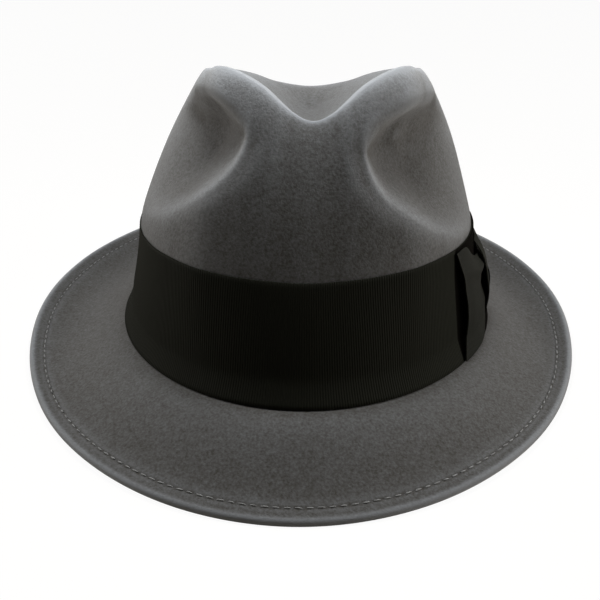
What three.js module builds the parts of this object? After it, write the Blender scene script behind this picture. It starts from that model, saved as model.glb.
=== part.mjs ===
// A felt trilby with a wide ribbon band and a flat side bow, in millimetres, +Z up.
// The front of the hat faces -Y and the bow is on +X, the wearer's left.
// The hat stands on a flat surface, on the front edge and the back of its brim.
import * as THREE from 'three';
import { mergeVertices } from 'three/addons/utils/BufferGeometryUtils.js';

// Head opening, measured over the felt at the foot of the crown.
const HEAD_WIDTH = 168;
const HEAD_LENGTH = 204;

// Crown.
const CROWN_HEIGHT = 123.2; // the two front peaks above the foot of the crown
const CROWN_LEAN = 3.1; // how far the upper crown leans towards +X
const LEAN_START = 38; // height at which the lean begins
const LEAN_SPAN = 70; // height over which it comes in
const WAIST_DEPTH = 1.4; // how far the ribbon draws the sides of the crown in
const FELT = 2; // thickness of the felt
const DENT_FRONT = 47; // front end of the centre dent's floor, ahead of the middle
const DENT_BACK = 40; // back end of the centre dent's floor, behind the middle
const DENT_DEPTH_FRONT = 35; // floor of the centre dent below the peaks, at its front end
const DENT_DEPTH_BACK = 38; // and at its back end

// Front pinches.
const PINCH_DEPTH = 20.5;
const PINCH_AIM = 0.8; // how far the push turns inwards for each degree round from the front
const PINCH_TURN = 2.3; // degrees by which both pinches sit round towards -X
const PINCH_UNEVEN = 3; // how much lower the +X pinch sits, and higher the other
const PINCH_FADE_FROM = 34; // degrees from the front where a pinch begins to fade
const PINCH_FADE_TO = 96; // degrees from the front where it has gone
const PINCH_TOP = 0.86; // share of the wall's height above which it dies out

// Brim.
const BRIM_FRONT = 45.5; // reach of the brim past the foot of the crown
const BRIM_SIDE = 46.6;
const BRIM_BACK = 47;
const BRIM_SHIFT = -2.3; // how far the edge sits towards +X from the crown
const BRIM_DROP = 21; // the front edge below the foot of the crown
const BRIM_HOLLOW = 7; // depth of the channel between the crown and the raised back edge
const BRIM_STRAIGHT = 0.4; // how straight the brim slopes, from 0, an S, to 1, a line
const FOOT_RADIUS = 4.5; // bend between the crown and the brim
const WELT_WIDTH = 7; // felt turned under along the edge
const WELT_THICKNESS = 3.8;
const WELT_STEP = 1; // length over which the welt's inner edge thins to plain felt
const REST_FLAT = 0.8; // how much the felt is pressed flat where it stands

// Ribbon band.
const RIBBON_WIDTH = 47.4; // upright height of the band, in front
const RIBBON_RISE = 1.9; // how much higher its top edge is beside the front
const RIBBON_FOOT = 0.6; // its bottom edge above the foot of the crown
const RIBBON_FLARE = 3.5; // how far its bottom edge stands out, over the crown's bend
const FLARE_HEIGHT = 10.5; // height at which the flare starts
const RIBBON_THICKNESS = 1;
const CLEARANCE = 0.3;

// Side bow. Its wings lie on a flat ribbon end, pinched under the knot and fanned out
// to the band's full height.
const BOW_AT = 76; // degrees from the front to the middle of the bow
const BOW_BASE = 25; // degrees of band that the flat end covers each way
const BOW_WING_FRONT = 22.5; // degrees of band that the front wing covers
const BOW_WING_BACK = 27;
const WING_START = 0.6; // degrees from the middle of the bow to a wing's hidden end
const WING_PROUD = 5.2; // how far the middle of a wing's open end stands off
const KNOT_WIDTH = 12;
const KNOT_TOP = 0.62; // reach of the knot above and below the middle of the bow, as
const KNOT_BOTTOM = 0.92; // shares of half the band
const KNOT_PROUD = 6; // how far the knot arches over the wings
const KNOT_SQUARE = 3; // how square the knot's arch is

// The ridge round the top of the crown, from the front (0 degrees) to the back (180).
// across and along are shares of half the head width and length, height of the crown's.
// swell and round shape the wall below: how full it is and how softly it turns over.
const RIDGE = [
  { at: 0, across: 0.5, along: -0.652, height: 0.857, swell: 1.15, round: 1.3 },
  { at: 9, across: 0.512, along: -0.647, height: 0.875, swell: 1.15, round: 1.3 },
  { at: 17, across: 0.535, along: -0.632, height: 0.912, swell: 1.2, round: 1.35 },
  { at: 25, across: 0.625, along: -0.588, height: 0.966, swell: 1.3, round: 1.4 },
  { at: 33, across: 0.738, along: -0.51, height: 1, swell: 1.45, round: 1.5 },
  { at: 45, across: 0.702, along: -0.373, height: 0.981, swell: 1.55, round: 1.55 },
  { at: 65, across: 0.59, along: -0.167, height: 0.951, swell: 1.6, round: 1.55 },
  { at: 90, across: 0.524, along: 0.049, height: 0.918, swell: 1.6, round: 1.55 },
  { at: 115, across: 0.529, along: 0.265, height: 0.879, swell: 1.6, round: 1.55 },
  { at: 140, across: 0.56, along: 0.461, height: 0.83, swell: 1.6, round: 1.55 },
  { at: 160, across: 0.592, along: 0.588, height: 0.774, swell: 1.6, round: 1.55 },
  { at: 180, across: 0.595, along: 0.632, height: 0.748, swell: 1.6, round: 1.55 },
];

// A front pinch by height, as shares of the crown's height. start is where its inner
// side begins, in degrees from the front, spread the degrees in which it reaches its
// depth, and depth a share of the pinch's.
const PINCH = [
  { at: 0.39, start: 72, spread: 30, depth: 0 },
  { at: 0.455, start: 58, spread: 28, depth: 0.15 },
  { at: 0.507, start: 46, spread: 25, depth: 0.36 },
  { at: 0.568, start: 35.5, spread: 21, depth: 0.63 },
  { at: 0.633, start: 28, spread: 18, depth: 0.86 },
  { at: 0.694, start: 23.5, spread: 15, depth: 0.98 },
  { at: 0.759, start: 20.7, spread: 13, depth: 1 },
  { at: 0.815, start: 20, spread: 12.5, depth: 0.85 },
  { at: 0.865, start: 21.3, spread: 12.5, depth: 0.52 },
  { at: 0.909, start: 23, spread: 13, depth: 0.2 },
  { at: 0.958, start: 26, spread: 14, depth: 0.03 },
  { at: 1.006, start: 30, spread: 14, depth: 0 },
];

// The crown's waist by height, as a share of the crown's: depth is a share of the waist's.
const WAIST = [
  { at: 0, depth: 0 },
  { at: 0.06, depth: 0 },
  { at: 0.13, depth: 0.4 },
  { at: 0.22, depth: 1 },
  { at: 0.32, depth: 0.95 },
  { at: 0.42, depth: 0 },
];

// The band's top edge from front to back, as a share of its rise.
const BAND_EDGE = [
  { at: 0, rise: 0 },
  { at: 20, rise: 0.5 },
  { at: 38, rise: 1 },
  { at: 52, rise: 0.6 },
  { at: 64, rise: 0 },
  { at: 180, rise: 0 },
];

// A wing of the bow along its length from the knot. up and down are its reach above and
// below the middle of the bow, as shares of half the band, and proud is a share of how
// far it stands off.
const WING = [
  { at: 0, up: 0.14, down: 0.2, proud: 0.5 },
  { at: 0.22, up: 0.3, down: 0.78, proud: 0.6 },
  { at: 0.48, up: 0.64, down: 0.95, proud: 0.8 },
  { at: 0.72, up: 0.93, down: 0.96, proud: 0.9 },
  { at: 1, up: 0.96, down: 0.96, proud: 1 },
];

// The brim from front to back: the edge's height as a share of the front drop, and the
// channel's depth as a share of the hollow.
const BRIM = [
  { at: 0, edge: -1, hollow: 0 },
  { at: 20, edge: -0.943, hollow: 0 },
  { at: 40, edge: -0.814, hollow: 0.07 },
  { at: 60, edge: -0.667, hollow: 0.29 },
  { at: 76, edge: -0.424, hollow: 0.57 },
  { at: 90, edge: -0.19, hollow: 0.71 },
  { at: 110, edge: -0.032, hollow: 0.86 },
  { at: 135, edge: 0.074, hollow: 0.93 },
  { at: 160, edge: 0.211, hollow: 1 },
  { at: 180, edge: 0.285, hollow: 1 },
];

const HALF_WIDTH = HEAD_WIDTH / 2;
const HALF_LENGTH = HEAD_LENGTH / 2;
const RADIANS = Math.PI / 180;

const clamp = (v) => Math.min(1, Math.max(0, v));
const mix = (a, b, share) => a + (b - a) * share;
const soft = (v) => clamp(v) ** 2 * (3 - 2 * clamp(v));
const softer = (v) => clamp(v) ** 3 * (clamp(v) * (6 * clamp(v) - 15) + 10);

// Even shares from a start, 0 unless it is given, to 1.
const shares = (steps, from = 0) => (
  Array.from({ length: steps + 1 }, (_, k) => mix(from, 1, k / steps))
);

// Reads a column of a table at a place between its rows, on a smooth curve that is
// level at both ends of the table.
function read(table, column, at) {
  const last = table.length - 1;
  const place = Math.min(table[last].at, Math.max(table[0].at, at));
  let k = 0;
  while (k < last - 1 && table[k + 1].at <= place) {
    k += 1;
  }
  const step = (i) => table[i + 1].at - table[i].at;
  const rate = (i) => (table[i + 1][column] - table[i][column]) / step(i);
  const slope = (i) => {
    if (i === 0 || i === last) {
      return 0;
    }
    return (rate(i - 1) * step(i) + rate(i) * step(i - 1)) / (step(i) + step(i - 1));
  };
  const u = (place - table[k].at) / step(k);
  const rise = u * u * (3 - 2 * u);
  const start = u * (1 - u) ** 2 * step(k) * slope(k);
  const end = u * u * (u - 1) * step(k) * slope(k + 1);
  return mix(table[k][column], table[k + 1][column], rise) + start + end;
}

const foot = (angle) => new THREE.Vector3(
  HALF_WIDTH * Math.sin(angle * RADIANS),
  -HALF_LENGTH * Math.cos(angle * RADIANS),
  0,
);

// The level direction square to the foot of the crown, outwards.
const outward = (angle) => new THREE.Vector3(
  Math.sin(angle * RADIANS) / HALF_WIDTH,
  -Math.cos(angle * RADIANS) / HALF_LENGTH,
  0,
).normalize();

function ridge(angle) {
  const at = Math.abs(angle);
  return new THREE.Vector3(
    HALF_WIDTH * read(RIDGE, 'across', at) * Math.sin(angle * RADIANS),
    HALF_LENGTH * read(RIDGE, 'along', at),
    CROWN_HEIGHT * read(RIDGE, 'height', at),
  );
}

function leaned(point) {
  point.x += CROWN_LEAN * soft((point.z - LEAN_START) / LEAN_SPAN);
  return point;
}

// How far the felt is pushed in by the front pinches.
function pinchDepth(angle, height, share) {
  const side = Math.sign(angle);
  const at = (height + side * PINCH_UNEVEN) / CROWN_HEIGHT;
  const past = Math.abs(angle) + side * PINCH_TURN - read(PINCH, 'start', at);
  const step = softer(past / read(PINCH, 'spread', at));
  const fade = 1 - soft((Math.abs(angle) - PINCH_FADE_FROM) / (PINCH_FADE_TO - PINCH_FADE_FROM));
  const top = 1 - soft((share - PINCH_TOP) / (1 - PINCH_TOP));
  return PINCH_DEPTH * read(PINCH, 'depth', at) * step * fade * top;
}

// The outside of the crown's wall, share 0 at its foot and 1 on the ridge.
function wall(angle, share) {
  const at = Math.abs(angle);
  const top = ridge(angle);
  const base = foot(angle);
  const full = (1 - share ** read(RIDGE, 'swell', at)) ** (1 / read(RIDGE, 'round', at));
  const point = new THREE.Vector3(mix(top.x, base.x, full), mix(top.y, base.y, full), top.z * share);
  const depth = pinchDepth(angle, point.z, share);
  point.x -= depth * Math.sin(PINCH_AIM * angle * RADIANS);
  point.y += depth * Math.cos(PINCH_AIM * angle * RADIANS);
  const drawn = WAIST_DEPTH * read(WAIST, 'depth', point.z / CROWN_HEIGHT);
  point.addScaledVector(outward(angle), -drawn * Math.sin(angle * RADIANS) ** 2);
  return leaned(point);
}

// The crown's wall at a height, with the bend at its foot.
function wallAt(angle, height) {
  const point = wall(angle, height / ridge(angle).z);
  if (height < FOOT_RADIUS) {
    const across = 1 - Math.sqrt(1 - (1 - height / FOOT_RADIUS) ** 2);
    point.addScaledVector(outward(angle), FOOT_RADIUS * across);
  }
  return point;
}

// The centre dent, share 0 on the ridge and 1 on its floor line.
function dent(angle, share) {
  const top = ridge(angle);
  const back = (1 - Math.cos(angle * RADIANS)) / 2;
  const floorY = mix(-DENT_FRONT, DENT_BACK, back);
  const floorZ = CROWN_HEIGHT - mix(DENT_DEPTH_FRONT, DENT_DEPTH_BACK, back);
  return leaned(new THREE.Vector3(
    top.x * (1 - share),
    mix(top.y, floorY, share),
    mix(top.z, floorZ, soft(share)),
  ));
}

// The top of the brim, share 0 at the end of the crown's bend and 1 at the edge.
function brim(angle, share) {
  const at = Math.abs(angle);
  const start = foot(angle).addScaledVector(outward(angle), FOOT_RADIUS);
  const reach = Math.cos(angle * RADIANS) > 0 ? BRIM_FRONT : BRIM_BACK;
  const edgeX = (HALF_WIDTH + BRIM_SIDE) * Math.sin(angle * RADIANS) + BRIM_SHIFT;
  const edgeY = -(HALF_LENGTH + reach) * Math.cos(angle * RADIANS);
  const slope = mix(soft(share), share, BRIM_STRAIGHT);
  const edge = BRIM_DROP * read(BRIM, 'edge', at);
  const hollow = BRIM_HOLLOW * read(BRIM, 'hollow', at);
  return new THREE.Vector3(
    mix(start.x, edgeX, share),
    mix(start.y, edgeY, share),
    edge * slope - hollow * 4 * share * (1 - share),
  );
}

// Columns of the body and the band: degrees from the front, closer over the pinches.
const COLUMN_RUNS = [
  { to: 12, steps: 3 },
  { to: 48, steps: 18 },
  { to: 180, steps: 15 },
];

function columnAngles() {
  const half = [0];
  for (const run of COLUMN_RUNS) {
    const from = half[half.length - 1];
    for (let k = 1; k <= run.steps; k += 1) {
      half.push(mix(from, run.to, k / run.steps));
    }
  }
  const left = half.slice(1, -1).reverse().map((angle) => -angle);
  return [...left, ...half];
}
const COLUMNS = columnAngles();

// Rows of the dent from its floor to the ridge, and of the wall from the ridge down.
const DENT_ROWS = [1, 0.78, 0.58, 0.4, 0.24, 0.1];
const WALL_ROWS = [
  1, 0.985, 0.955, 0.915, 0.87, 0.82, 0.77, 0.72, 0.67,
  0.62, 0.57, 0.51, 0.44, 0.36, 0.25, 0.12, 0,
];
const BEND_ANGLES = [45, 90];
const BRIM_STEPS = 4;
const ROLL_ANGLES = [50, 0, -50, -90];
const BAND_ROWS = [0, 1, 2, 3, 4]; // from the band's bottom edge: its flare, then even steps
const WING_STEPS = 8;
const KNOT_STEPS = 3;
const MERGE_DISTANCE = 1e-3; // points closer than this are one
const TILT_LIMIT = 15; // degrees, the range in which the resting tilt is searched
const TILT_ROUNDS = 40;
const bendHeight = (turn) => FOOT_RADIUS * (1 - Math.sin(turn * RADIANS));

// Shares of the brim's reach at one angle: the welt's inner edge, where it starts to
// thicken, and where its rolled edge begins.
function weltShares(angle) {
  const reach = brim(angle, 0).distanceTo(brim(angle, 1));
  return {
    plain: 1 - (WELT_WIDTH + WELT_STEP) / reach,
    inner: 1 - WELT_WIDTH / reach,
    roll: 1 - WELT_THICKNESS / 2 / reach,
  };
}

// The felt's outer face in rows, from the floor of the centre dent to the brim's edge.
function topRows() {
  const rows = DENT_ROWS.map((share) => COLUMNS.map((angle) => dent(angle, share)));
  for (const rise of WALL_ROWS) {
    rows.push(COLUMNS.map((angle) => wall(angle, mix(FOOT_RADIUS / ridge(angle).z, 1, rise))));
  }
  for (const turn of BEND_ANGLES) {
    rows.push(COLUMNS.map((angle) => wallAt(angle, bendHeight(turn))));
  }
  for (let step = 1; step <= BRIM_STEPS; step += 1) {
    rows.push(COLUMNS.map((angle) => brim(angle, (weltShares(angle).plain * step) / BRIM_STEPS)));
  }
  rows.push(COLUMNS.map((angle) => brim(angle, weltShares(angle).inner)));
  rows.push(COLUMNS.map((angle) => brim(angle, weltShares(angle).roll)));
  return rows;
}

const ahead = (k) => (k + 1) % COLUMNS.length;
const behind = (k) => (k + COLUMNS.length - 1) % COLUMNS.length;
// The column at the same angle on the other side of the hat.
const mirrored = (k) => (2 * COLUMNS.indexOf(0) - k + COLUMNS.length) % COLUMNS.length;

// The outward direction of the felt's face at a row and column.
function facing(rows, r, k) {
  const along = rows[r][ahead(k)].clone().sub(rows[r][behind(k)]);
  const before = r === 0 ? rows[1][mirrored(k)] : rows[r - 1][k];
  const after = rows[Math.min(r + 1, rows.length - 1)][k];
  const down = after.clone().sub(before);
  const normal = along.cross(down);
  return normal.length() < 1e-6 ? new THREE.Vector3(0, 0, 1) : normal.normalize().negate();
}

// Closed body from rows of points that run round the hat.
function solidFromRows(rows, rowsClose) {
  const count = rows[0].length;
  const points = rows.flat().flatMap((point) => point.toArray());
  const triangles = [];
  const pairs = rowsClose ? rows.length : rows.length - 1;
  for (let r = 0; r < pairs; r += 1) {
    const next = (r + 1) % rows.length;
    for (let k = 0; k < count; k += 1) {
      const [a, b] = [r * count + k, r * count + ahead(k)];
      const [c, d] = [next * count + k, next * count + ahead(k)];
      triangles.push(a, c, b, b, c, d);
    }
  }
  return closedGeometry(points, triangles);
}

// Closed body between two sheets of points with the same rows and columns.
function solidFromSheets(inner, outer) {
  const rows = inner.length;
  const count = inner[0].length;
  const points = [...inner.flat(), ...outer.flat()].flatMap((point) => point.toArray());
  const low = (r, k) => r * count + k;
  const high = (r, k) => rows * count + r * count + k;
  const triangles = [];
  const face = (a, b, c, d) => triangles.push(a, b, c, a, c, d);
  for (let r = 0; r < rows - 1; r += 1) {
    for (let k = 0; k < count - 1; k += 1) {
      face(high(r, k), high(r, k + 1), high(r + 1, k + 1), high(r + 1, k));
      face(low(r, k), low(r + 1, k), low(r + 1, k + 1), low(r, k + 1));
    }
    face(low(r, 0), high(r, 0), high(r + 1, 0), low(r + 1, 0));
    face(low(r, count - 1), low(r + 1, count - 1), high(r + 1, count - 1), high(r, count - 1));
  }
  for (let k = 0; k < count - 1; k += 1) {
    face(low(0, k), low(0, k + 1), high(0, k + 1), high(0, k));
    face(low(rows - 1, k), high(rows - 1, k), high(rows - 1, k + 1), low(rows - 1, k + 1));
  }
  return closedGeometry(points, triangles);
}

// Merges shared points and turns the faces outwards if they point in.
function closedGeometry(points, triangles) {
  const geometry = new THREE.BufferGeometry();
  geometry.setAttribute('position', new THREE.Float32BufferAttribute(points, 3));
  geometry.setIndex(triangles);
  const merged = mergeVertices(geometry, MERGE_DISTANCE);
  if (volume(merged) < 0) {
    merged.index.array.reverse();
  }
  merged.computeVertexNormals();
  return merged;
}

function volume(geometry) {
  const { position } = geometry.attributes;
  const corner = (i) => new THREE.Vector3().fromBufferAttribute(position, geometry.index.array[i]);
  let sum = 0;
  for (let i = 0; i < geometry.index.count; i += 3) {
    sum += corner(i).dot(corner(i + 1).cross(corner(i + 2))) / 6;
  }
  return sum;
}

// The felt in closed rows: down its outer face, round the rolled edge and back up inside.
function bodyRows() {
  const top = topRows();
  const last = top.length - 1;
  const roll = ROLL_ANGLES.map((turn) => COLUMNS.map((angle, k) => {
    const normal = facing(top, last, k);
    const out = top[last][k].clone().sub(top[last - 1][k]).normalize();
    const radius = WELT_THICKNESS / 2;
    return top[last][k].clone()
      .addScaledVector(normal, radius * (Math.sin(turn * RADIANS) - 1))
      .addScaledVector(out, radius * Math.cos(turn * RADIANS));
  }));
  const under = top.slice(0, last).map((row, r) => row.map((point, k) => {
    const thickness = r === last - 1 ? WELT_THICKNESS : FELT;
    return point.clone().addScaledVector(facing(top, r, k), -thickness);
  }));
  return [...top, ...roll, ...under.reverse()];
}

// The hat at rest: tipped about X until its front and back are as low as each other.
function restingTilt(rows) {
  const points = rows.flat();
  const lowest = (tilt, sign) => Math.min(...points.filter((point) => point.y * sign > 0)
    .map((point) => point.y * Math.sin(tilt) + point.z * Math.cos(tilt)));
  let less = -TILT_LIMIT * RADIANS;
  let more = TILT_LIMIT * RADIANS;
  for (let round = 0; round < TILT_ROUNDS; round += 1) {
    const middle = (less + more) / 2;
    if (lowest(middle, -1) < lowest(middle, 1)) {
      more = middle;
    } else {
      less = middle;
    }
  }
  return { tilt: less, lift: -lowest(less, -1) - REST_FLAT };
}

const BODY = bodyRows();
const REST = restingTilt(BODY);

// Puts points of the hat where they rest, pressed flat on the surface.
function settled(rows) {
  for (const point of rows.flat()) {
    point.applyAxisAngle(new THREE.Vector3(1, 0, 0), REST.tilt);
    point.z = Math.max(0, point.z + REST.lift);
  }
  return rows;
}

const BOW_HALF = RIBBON_WIDTH / 2;
const BOW_MIDDLE = RIBBON_FOOT + BOW_HALF;
const BASE_LEVEL = CLEARANCE;
const WING_LEVEL = BASE_LEVEL + RIBBON_THICKNESS + CLEARANCE;

function bandHeight(angle, row) {
  const top = RIBBON_FOOT + RIBBON_WIDTH + RIBBON_RISE * read(BAND_EDGE, 'rise', Math.abs(angle));
  const steps = BAND_ROWS.length - 2;
  return row === 0 ? RIBBON_FOOT : mix(FLARE_HEIGHT, top, (row - 1) / steps);
}

// A point on the band, proud of its outer face. Its flare is straight.
function onBand(angle, height, proud) {
  const above = Math.max(FLARE_HEIGHT, height);
  const flare = (above - height) / (FLARE_HEIGHT - RIBBON_FOOT);
  const low = foot(angle).addScaledVector(outward(angle), RIBBON_FLARE);
  low.z = RIBBON_FOOT;
  return wallAt(angle, above)
    .lerp(low, flare)
    .addScaledVector(outward(angle), CLEARANCE + RIBBON_THICKNESS + proud);
}

function bandRows() {
  const face = (proud) => BAND_ROWS.map((row) => (
    COLUMNS.map((angle) => onBand(angle, bandHeight(angle, row), proud))
  ));
  return [...face(-RIBBON_THICKNESS), ...face(0).reverse()];
}

// A piece of ribbon over the band: inner and outer sheets from a function that gives
// angle, height and how proud it stands at a place along and up the piece.
function ribbonPiece(across, up, place) {
  const sheet = (extra) => up.map((v) => across.map((u) => {
    const { angle, height, proud } = place(u, v);
    return onBand(angle, height, proud + extra);
  }));
  return solidFromSheets(settled(sheet(0)), settled(sheet(RIBBON_THICKNESS)));
}

function bowBase() {
  const from = BOW_AT - BOW_BASE;
  const to = BOW_AT + BOW_BASE;
  const inside = COLUMNS.filter((angle) => angle > from && angle < to);
  return ribbonPiece([from, ...inside, to], BAND_ROWS, (angle, row) => (
    { angle, height: bandHeight(angle, row), proud: BASE_LEVEL }
  ));
}

// A wing of the bow, turned by its degrees of band: negative towards the front.
function bowWing(turn) {
  return ribbonPiece(shares(WING_STEPS), shares(WING_STEPS, -1), (u, v) => {
    const reach = BOW_HALF * read(WING, v > 0 ? 'up' : 'down', u);
    return {
      angle: BOW_AT + mix(Math.sign(turn) * WING_START, turn, u),
      height: BOW_MIDDLE + v * reach,
      proud: WING_LEVEL + WING_PROUD * read(WING, 'proud', u) * (1 - v * v),
    };
  });
}

function bowKnot() {
  const half = KNOT_WIDTH / 2 / HALF_LENGTH / RADIANS;
  return ribbonPiece(shares(KNOT_STEPS, -1), shares(WING_STEPS, -1), (u, v) => ({
    angle: BOW_AT + u * half,
    height: BOW_MIDDLE + v * BOW_HALF * (v > 0 ? KNOT_TOP : KNOT_BOTTOM),
    proud: WING_LEVEL + KNOT_PROUD * (1 - Math.abs(v) ** KNOT_SQUARE),
  }));
}

const felt = { color: '#565452', roughness: 0.95, metalness: 0 };
const ribbon = { color: '#16150f', roughness: 0.6, metalness: 0 };

function piece(name, geometry, finish) {
  const mesh = new THREE.Mesh(geometry, new THREE.MeshStandardMaterial(finish));
  mesh.name = name;
  return mesh;
}

const group = new THREE.Group();
group.add(
  piece('felt_body', solidFromRows(settled(BODY), false), felt),
  piece('hat_band', solidFromRows(settled(bandRows()), true), ribbon),
  piece('bow_base', bowBase(), ribbon),
  piece('bow_wing_front', bowWing(-BOW_WING_FRONT), ribbon),
  piece('bow_wing_back', bowWing(BOW_WING_BACK), ribbon),
  piece('bow_knot', bowKnot(), ribbon),
);

// The origin is under the middle of the hat, on the surface that it stands on.
const reach = new THREE.Box3().setFromObject(group).getCenter(new THREE.Vector3());
group.position.set(-reach.x, -reach.y, 0);
group.updateMatrixWorld(true);

export default group;
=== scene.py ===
"""A felt trilby with a wide ribbon band and a flat side bow, for Blender 4.5.

The forms are worked out in millimetres from the plane of the crown's foot, with the
front of the hat towards -Y. The Rest class then stands them on the floor, in metres,
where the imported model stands.
"""
import logging
import math
from dataclasses import dataclass, field
from enum import Enum
from typing import Callable, ClassVar, NamedTuple, Sequence

import bmesh
import bpy
import numpy as np
from mathutils import Matrix, Vector

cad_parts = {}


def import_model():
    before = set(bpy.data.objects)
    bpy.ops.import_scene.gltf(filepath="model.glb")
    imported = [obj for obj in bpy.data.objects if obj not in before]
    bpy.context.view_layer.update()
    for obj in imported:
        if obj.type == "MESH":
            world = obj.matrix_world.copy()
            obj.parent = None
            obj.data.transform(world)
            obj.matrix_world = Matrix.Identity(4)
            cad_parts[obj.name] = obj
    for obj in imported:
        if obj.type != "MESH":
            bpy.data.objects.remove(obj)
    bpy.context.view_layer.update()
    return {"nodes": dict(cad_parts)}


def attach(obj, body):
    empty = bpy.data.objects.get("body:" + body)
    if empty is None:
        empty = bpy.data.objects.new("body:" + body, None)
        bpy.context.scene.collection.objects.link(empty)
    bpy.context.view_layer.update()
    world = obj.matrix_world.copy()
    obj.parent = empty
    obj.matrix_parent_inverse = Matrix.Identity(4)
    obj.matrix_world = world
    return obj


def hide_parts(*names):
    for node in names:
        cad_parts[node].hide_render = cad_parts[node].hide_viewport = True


log = logging.getLogger("trilby")

METRES = 0.001
FRAME_PIXELS = 600
WHITE = (1, 1, 1, 1)
Socket = bpy.types.NodeSocket


class RidgeRow(NamedTuple):
    """The ridge round the top of the crown at one angle from the front.

    across and along are shares of half the head width and length, height of the
    crown's. swell and turn shape the wall below: how full it is and how softly it
    turns over.
    """

    at: float
    across: float
    along: float
    height: float
    swell: float
    turn: float


class PinchRow(NamedTuple):
    """A front pinch at one share of the crown's height.

    start is where its inner side begins, in degrees from the front, spread the degrees
    in which it reaches its depth, and depth a share of the pinch's.
    """

    at: float
    start: float
    spread: float
    depth: float


class WaistRow(NamedTuple):
    """How far the ribbon draws the crown in at a share of the crown's height."""

    at: float
    depth: float


class EdgeRow(NamedTuple):
    """How far the band's top edge has risen at one angle, as a share of its rise."""

    at: float
    rise: float


class BrimRow(NamedTuple):
    """The brim at one angle: its edge as a share of the drop, and its channel's depth."""

    at: float
    edge: float
    hollow: float


def table(kind: type, *rows: tuple[float, ...]) -> tuple[NamedTuple, ...]:
    """A table whose columns are named by its kind of row."""
    return tuple(kind(*row) for row in rows)


RIDGE = table(
    RidgeRow,
    (0, 0.5, -0.652, 0.857, 1.15, 1.3),
    (9, 0.512, -0.647, 0.875, 1.15, 1.3),
    (17, 0.535, -0.632, 0.912, 1.2, 1.35),
    (25, 0.625, -0.588, 0.966, 1.3, 1.4),
    (33, 0.738, -0.51, 1, 1.45, 1.5),
    (45, 0.702, -0.373, 0.978, 1.55, 1.55),
    (65, 0.59, -0.167, 0.945, 1.6, 1.55),
    (90, 0.524, 0.049, 0.914, 1.6, 1.55),
    (115, 0.529, 0.265, 0.879, 1.6, 1.55),
    (140, 0.56, 0.461, 0.83, 1.6, 1.55),
    (160, 0.592, 0.588, 0.774, 1.6, 1.55),
    (180, 0.595, 0.632, 0.748, 1.6, 1.55),
)

PINCH = table(
    PinchRow,
    (0.39, 72, 30, 0),
    (0.455, 58, 28, 0.15),
    (0.507, 46, 25, 0.36),
    (0.568, 36.6, 20, 0.63),
    (0.633, 28.9, 17, 0.86),
    (0.694, 24.7, 14, 0.98),
    (0.759, 22.6, 12, 1),
    (0.815, 22, 11.5, 0.85),
    (0.865, 22.6, 13, 0.7),
    (0.909, 23.5, 18, 0.34),
    (0.958, 26, 20, 0.05),
    (1.006, 30, 14, 0),
)

WAIST = table(
    WaistRow,
    (0, 0),
    (0.06, 0),
    (0.13, 0.4),
    (0.22, 1),
    (0.32, 0.95),
    (0.42, 0),
)

BAND_EDGE = table(
    EdgeRow,
    (0, 0),
    (20, 0.5),
    (38, 1),
    (52, 0.6),
    (64, 0),
    (180, 0),
)

BRIM = table(
    BrimRow,
    (0, -1, 0),
    (20, -0.943, 0),
    (40, -0.814, 0.07),
    (60, -0.667, 0.29),
    (76, -0.424, 0.57),
    (90, -0.19, 0.71),
    (110, -0.032, 0.86),
    (135, 0.074, 0.93),
    (160, 0.211, 1),
    (180, 0.285, 1),
)


def clamp(value: np.ndarray) -> np.ndarray:
    """Keeps values between 0 and 1."""
    return np.clip(value, 0.0, 1.0)


def mix(low: np.ndarray, high: np.ndarray, share: np.ndarray) -> np.ndarray:
    """Goes from low to high as share goes from 0 to 1."""
    return low + (high - low) * share


def soft(value: np.ndarray) -> np.ndarray:
    """A step from 0 to 1 that is level at both ends."""
    held = clamp(value)
    return held**2 * (3 - 2 * held)


def hump(value: np.ndarray, middle: float, width: float) -> np.ndarray:
    """A smooth hump of height 1 at its middle."""
    return np.exp(-(((value - middle) / width) ** 2))


def read(table: Sequence[NamedTuple], column: str, at: np.ndarray) -> np.ndarray:
    """Reads a column of a table between its rows, on a smooth curve level at both ends.

    Args:
        table: Rows in order of their value of at.
        column: The column's name.
        at: Places to read it at.

    Returns:
        The column's values there.
    """
    places = np.array([row.at for row in table], dtype=float)
    values = np.array([getattr(row, column) for row in table], dtype=float)
    steps = np.diff(places)
    rates = np.diff(values) / steps
    slopes = np.zeros_like(values)
    slopes[1:-1] = (rates[:-1] * steps[1:] + rates[1:] * steps[:-1]) / (steps[1:] + steps[:-1])
    held = np.clip(at, places[0], places[-1])
    k = np.clip(np.searchsorted(places, held, side="right") - 1, 0, len(steps) - 1)
    u = (held - places[k]) / steps[k]
    level = mix(values[k], values[k + 1], u * u * (3 - 2 * u))
    start = u * (1 - u) ** 2 * steps[k] * slopes[k]
    end = u * u * (u - 1) * steps[k] * slopes[k + 1]
    return level + start + end


def points(x: np.ndarray, y: np.ndarray, z: np.ndarray) -> np.ndarray:
    """Joins coordinates of any matching shapes into points."""
    return np.stack(np.broadcast_arrays(x, y, z), axis=-1).astype(float)


def unit(vectors: np.ndarray) -> np.ndarray:
    """Vectors of length 1 in the same directions."""
    return vectors / np.maximum(np.linalg.norm(vectors, axis=-1, keepdims=True), 1e-9)


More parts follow.
